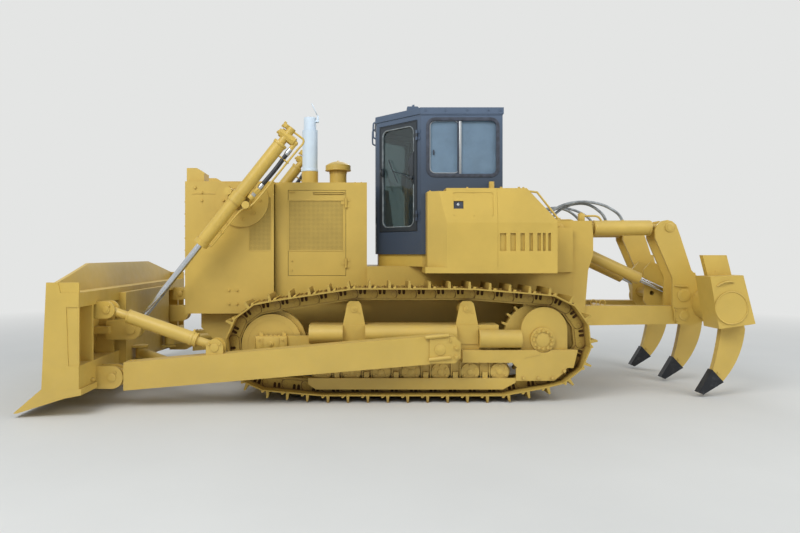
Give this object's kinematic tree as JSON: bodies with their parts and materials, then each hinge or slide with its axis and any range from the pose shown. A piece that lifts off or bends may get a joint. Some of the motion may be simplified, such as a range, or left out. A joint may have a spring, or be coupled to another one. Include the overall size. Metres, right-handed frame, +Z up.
{
  "type": "crawler bulldozer",
  "caption": "Crawler bulldozer with a straight lift blade on push arms, closed cab, side tanks and a parallelogram ripper with curved shanks",
  "frame": {"origin": "on the ground below the middle of the overall box", "axes": "+X to the rear, from the blade to the ripper; +Y to the machine's right; +Z up"},
  "size_m": [8.189, 4.13, 3.73],
  "materials": {
    "yellow_paint": "weathered yellow enamel",
    "track_steel": "forged steel with dried earth and worn edges",
    "worn_cast_steel": "cast steel, painted and worn on the treads",
    "cab_paint": "dark blue-grey enamel",
    "window_glass": "tinted safety glass",
    "lamp_glass": "clear lamp lens",
    "black_paint": "matt black enamel",
    "exhaust_paint": "pale heat-proof paint",
    "rod_chrome": "polished hard chrome",
    "wear_steel": "dark cast wear steel",
    "seat_fabric": "dark woven seat cloth",
    "console_plastic": "moulded plastic"
  },
  "bodies": {
    "root": {"track_right": "track_steel", "track_left": "track_steel", "sprockets": "yellow_paint", "final_drives": "yellow_paint", "idlers": "worn_cast_steel", "track_rollers": "worn_cast_steel", "track_frames": "yellow_paint", "main_frame": "yellow_paint", "platform": "yellow_paint", "cab_shell": "cab_paint", "cab_glass": "window_glass", "cab_roof": "cab_paint", "side_tanks": "yellow_paint", "rear_housing": "yellow_paint", "radiator_guard": "yellow_paint", "radiator_grille": "black_paint", "radiator_core": "black_paint", "hood": "yellow_paint", "engine_block": "black_paint", "exhaust_stack": "exhaust_paint", "precleaner": "yellow_paint", "head_lamps": "yellow_paint", "lamp_lenses": "lamp_glass", "operator_seat": "seat_fabric", "control_console": "console_plastic", "cylinder_yokes": "yellow_paint", "ripper_bracket": "yellow_paint", "grab_rails": "yellow_paint"},
    "blade": {"moldboard": "yellow_paint", "cutting_edge": "wear_steel", "push_arms": "yellow_paint", "brace_left": "yellow_paint", "brace_right": "yellow_paint"},
    "lift_barrel_left": {"lift_barrel_left": "yellow_paint"},
    "lift_barrel_right": {"lift_barrel_right": "yellow_paint"},
    "lift_rod_left": {"lift_rod_left": "rod_chrome"},
    "lift_rod_right": {"lift_rod_right": "rod_chrome"},
    "ripper_link": {"ripper_link": "yellow_paint"},
    "ripper_beam": {"ripper_beam": "yellow_paint", "ripper_shanks": "yellow_paint", "shank_points": "wear_steel"},
    "ripper_tilt_left": {"ripper_tilt_left": "yellow_paint"},
    "ripper_tilt_right": {"ripper_tilt_right": "yellow_paint"},
    "ripper_lift_barrel_left": {"ripper_lift_barrel_left": "yellow_paint"},
    "ripper_lift_barrel_right": {"ripper_lift_barrel_right": "yellow_paint"},
    "ripper_lift_rod_left": {"ripper_lift_rod_left": "rod_chrome"},
    "ripper_lift_rod_right": {"ripper_lift_rod_right": "rod_chrome"},
    "cab_door_left": {"cab_door_left": "cab_paint", "door_glass_left": "window_glass"},
    "cab_door_right": {"cab_door_right": "cab_paint", "door_glass_right": "window_glass"},
    "engine_door_left": {"engine_door_left": "yellow_paint"},
    "engine_door_right": {"engine_door_right": "yellow_paint"},
    "rain_cap": {"rain_cap": "exhaust_paint"}
  },
  "joints": [
    {"name": "blade_lift", "type": "hinge", "parent": "root", "child": "blade", "pos_m": [0.387, 0, 0.65], "axis": [0, 1, 0], "range_deg": [-7.8, 19.5]},
    {"name": "ripper_lift", "type": "hinge", "parent": "root", "child": "ripper_link", "pos_m": [2.165, 0, 0.93], "axis": [0, -1, 0], "range_deg": [-38, 38]},
    {"name": "ripper_beam_pivot", "type": "hinge", "parent": "ripper_link", "child": "ripper_beam", "pos_m": [3.544, 0, 0.937], "axis": [0, -1, 0], "range_deg": [-38, 38]},
    {"name": "lift_trunnion_left", "type": "hinge", "parent": "root", "child": "lift_barrel_left", "pos_m": [-1.952, -1.08, 2.365], "axis": [0, 1, 0], "range_deg": [-10, 25]},
    {"name": "lift_rod_slide_left", "type": "slide", "parent": "lift_barrel_left", "child": "lift_rod_left", "axis": [-0.6212, 0, -0.7836], "range_m": [-0.96, 0.39]},
    {"name": "ripper_tilt_pivot_left", "type": "hinge", "parent": "root", "child": "ripper_tilt_left", "pos_m": [1.988, -0.5125, 2.029], "axis": [0, -1, 0], "range_deg": [-38, 38]},
    {"name": "ripper_lift_pivot_left", "type": "hinge", "parent": "root", "child": "ripper_lift_barrel_left", "pos_m": [2.25, -0.2875, 1.8], "axis": [0, -1, 0], "range_deg": [-34, 34]},
    {"name": "ripper_rod_slide_left", "type": "slide", "parent": "ripper_lift_barrel_left", "child": "ripper_lift_rod_left", "axis": [0.9045, 0, -0.4264], "range_m": [-0.395, 0.395]},
    {"name": "cab_door_hinge_left", "type": "hinge", "parent": "root", "child": "cab_door_left", "pos_m": [0.18906, -0.86398, 2], "axis": [0, 0, 1], "range_deg": [0, 100]},
    {"name": "engine_door_hinge_left", "type": "hinge", "parent": "root", "child": "engine_door_left", "pos_m": [-0.673, -0.636, 1.5], "axis": [0, 0, 1], "range_deg": [0, 95]},
    {"name": "lift_trunnion_right", "type": "hinge", "parent": "root", "child": "lift_barrel_right", "pos_m": [-1.952, 1.08, 2.365], "axis": [0, 1, 0], "range_deg": [-10, 25]},
    {"name": "lift_rod_slide_right", "type": "slide", "parent": "lift_barrel_right", "child": "lift_rod_right", "axis": [-0.6212, 0, -0.7836], "range_m": [-0.96, 0.39]},
    {"name": "ripper_tilt_pivot_right", "type": "hinge", "parent": "root", "child": "ripper_tilt_right", "pos_m": [1.988, 0.5125, 2.029], "axis": [0, -1, 0], "range_deg": [-38, 38]},
    {"name": "ripper_lift_pivot_right", "type": "hinge", "parent": "root", "child": "ripper_lift_barrel_right", "pos_m": [2.25, 0.2875, 1.8], "axis": [0, -1, 0], "range_deg": [-34, 34]},
    {"name": "ripper_rod_slide_right", "type": "slide", "parent": "ripper_lift_barrel_right", "child": "ripper_lift_rod_right", "axis": [0.9045, 0, -0.4264], "range_m": [-0.395, 0.395]},
    {"name": "cab_door_hinge_right", "type": "hinge", "parent": "root", "child": "cab_door_right", "pos_m": [0.18906, 0.86398, 2], "axis": [0, 0, -1], "range_deg": [0, 100]},
    {"name": "engine_door_hinge_right", "type": "hinge", "parent": "root", "child": "engine_door_right", "pos_m": [-0.673, 0.636, 1.5], "axis": [0, 0, -1], "range_deg": [0, 95]},
    {"name": "rain_cap_hinge", "type": "hinge", "parent": "root", "child": "rain_cap", "pos_m": [-1.065, 0, 3.547], "axis": [0, 1, 0], "range_deg": [-65, 0]}
  ],
  "couplings": [
    {"joint": "ripper_beam_pivot", "follows": "ripper_lift", "ratio": -1},
    {"joint": "lift_trunnion_left", "follows": "blade_lift", "ratio": 1.28},
    {"joint": "lift_rod_slide_left", "follows": "blade_lift", "m_per_rad": -2.8},
    {"joint": "ripper_tilt_pivot_left", "follows": "ripper_lift", "ratio": 1},
    {"joint": "ripper_lift_pivot_left", "follows": "ripper_lift", "ratio": 0.87},
    {"joint": "ripper_rod_slide_left", "follows": "ripper_lift", "m_per_rad": -0.59},
    {"joint": "lift_trunnion_right", "follows": "blade_lift", "ratio": 1.28},
    {"joint": "lift_rod_slide_right", "follows": "blade_lift", "m_per_rad": -2.8},
    {"joint": "ripper_tilt_pivot_right", "follows": "ripper_lift", "ratio": 1},
    {"joint": "ripper_lift_pivot_right", "follows": "ripper_lift", "ratio": 0.87},
    {"joint": "ripper_rod_slide_right", "follows": "ripper_lift", "m_per_rad": -0.59}
  ]
}
